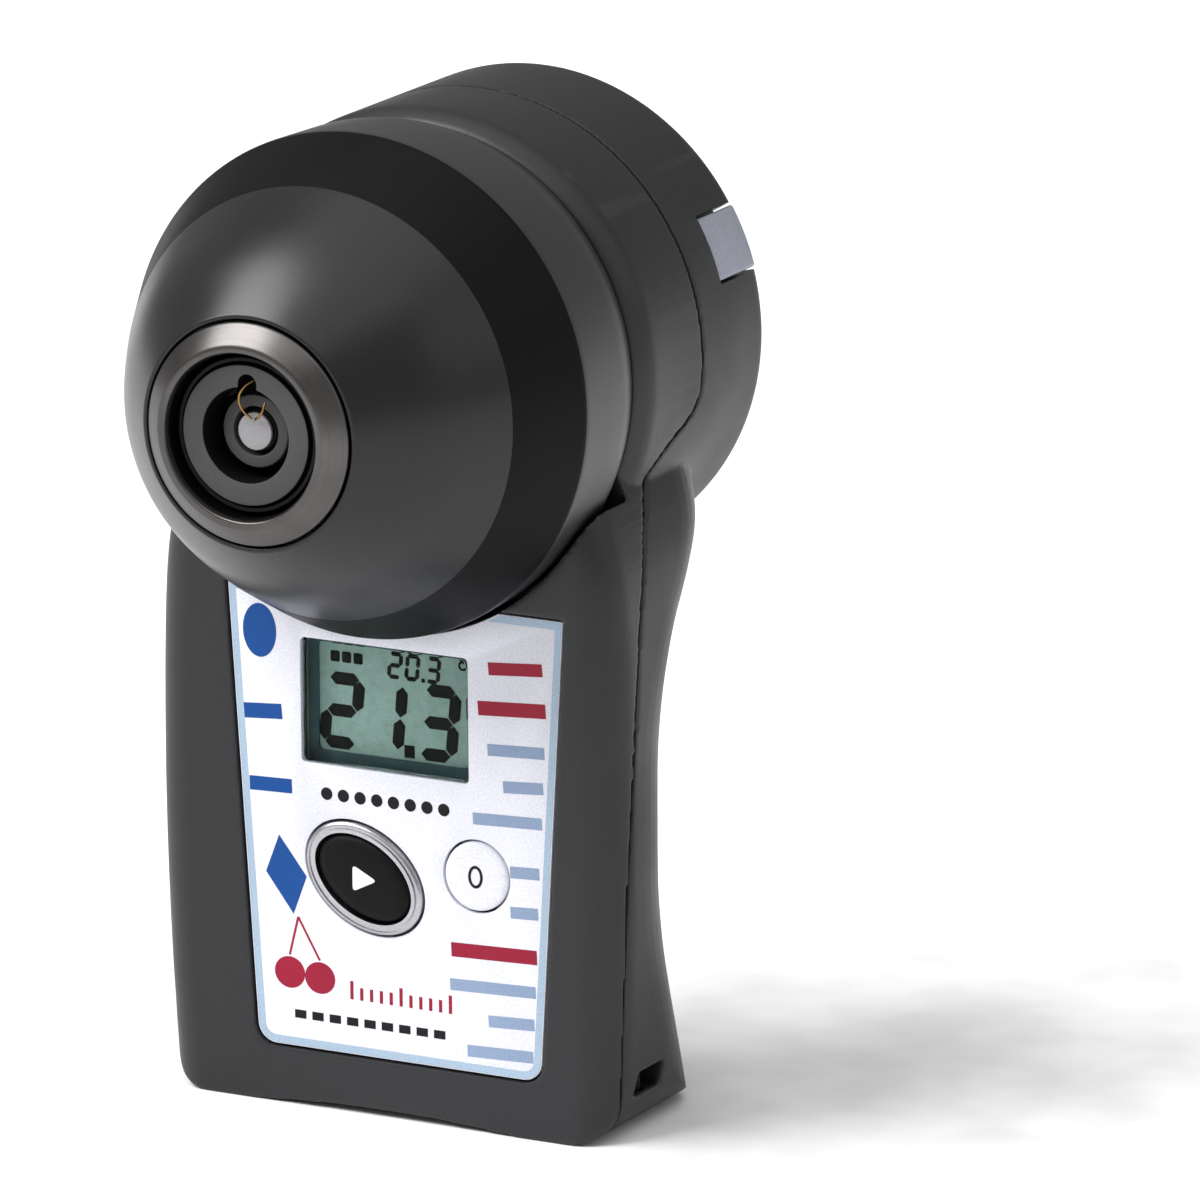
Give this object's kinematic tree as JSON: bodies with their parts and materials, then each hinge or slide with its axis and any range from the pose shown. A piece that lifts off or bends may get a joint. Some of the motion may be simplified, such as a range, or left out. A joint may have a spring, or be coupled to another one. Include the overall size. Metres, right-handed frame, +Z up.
{
  "type": "hand-held fruit sugar meter",
  "caption": "Hand-held optical meter: a round head with a rubber cone and metal-ringed light sensor, on a waisted handle with a display, oval key and round key.",
  "frame": {"origin": "middle of the object's box in X and Y, at the feet of the handle", "axes": "+Z up along the handle, -Y along the measuring axis towards the fruit, +X to the right of a person who looks at the display"},
  "size_m": [0.0614, 0.0718, 0.1178],
  "materials": {
    "casing": "fine-textured moulding",
    "rubber": "satin",
    "seal": "matte",
    "steel": "satin turned",
    "optic": "matte",
    "black": "matte",
    "chip": "satin",
    "gold": "bright",
    "board": "solder mask",
    "emitter": "clear dome",
    "panel": "printed film",
    "glass": "clear",
    "display": "liquid crystal cell",
    "latch": "satin",
    "tray": "matte",
    "cell": "film sleeve",
    "contact": "bright",
    "flex": "polyimide film"
  },
  "bodies": {
    "root": {"front_casing": "casing", "rear_casing": "casing", "casing_seal": "seal", "casing_screw_1": "steel", "casing_screw_2": "steel", "casing_screw_3": "steel", "casing_screw_4": "steel", "strap_pin": "steel", "sensor_boot": "rubber", "nose_frame": "tray", "nose_screw_1": "steel", "nose_screw_2": "steel", "nose_screw_3": "steel", "tip_ring": "steel", "outer_barrier": "black", "light_guide_ring": "optic", "inner_barrier": "black", "photodiode_can": "black", "photodiode_chip": "chip", "bond_wire_1": "gold", "bond_wire_2": "gold", "led_board": "board", "led_1": "emitter", "led_2": "emitter", "led_3": "emitter", "led_4": "emitter", "led_5": "emitter", "led_6": "emitter", "sensor_barrel": "tray", "sensor_board": "board", "label_panel": "panel", "lcd_window": "glass", "lcd_module": "display", "lcd_connector_1": "seal", "lcd_connector_2": "seal", "start_bezel": "contact", "start_switch": "contact", "zero_switch": "contact", "main_board": "board", "microcontroller": "black", "amplifier_chip": "black", "flex_connector": "panel", "buzzer": "black", "sensor_flex": "flex", "battery_tray": "tray", "battery_1": "cell", "battery_2": "cell", "contact_plate": "contact", "contact_spring_1": "contact", "contact_spring_2": "contact", "door_hinge_pin": "steel"},
    "start_key": {"start_key": "black"},
    "zero_key": {"zero_key": "panel"},
    "battery_door": {"battery_door": "casing", "door_seal": "seal"},
    "door_latch": {"door_latch": "latch"}
  },
  "joints": [
    {"name": "start_key_press", "type": "slide", "parent": "root", "child": "start_key", "axis": [0, 1, 0], "range_m": [0, 0.0005], "stiffness_N_per_m": 2400},
    {"name": "zero_key_press", "type": "slide", "parent": "root", "child": "zero_key", "axis": [0, 1, 0], "range_m": [0, 0.0005], "stiffness_N_per_m": 2400},
    {"name": "battery_door_hinge", "type": "hinge", "parent": "root", "child": "battery_door", "pos_m": [-0.02025, 0.0343, 0.0794], "axis": [-0.3907, 0, 0.9205], "range_deg": [0, 105]},
    {"name": "door_latch_press", "type": "slide", "parent": "root", "child": "door_latch", "axis": [-0.9205, 0, -0.3907], "range_m": [0, 0.0012], "stiffness_N_per_m": 1500}
  ]
}
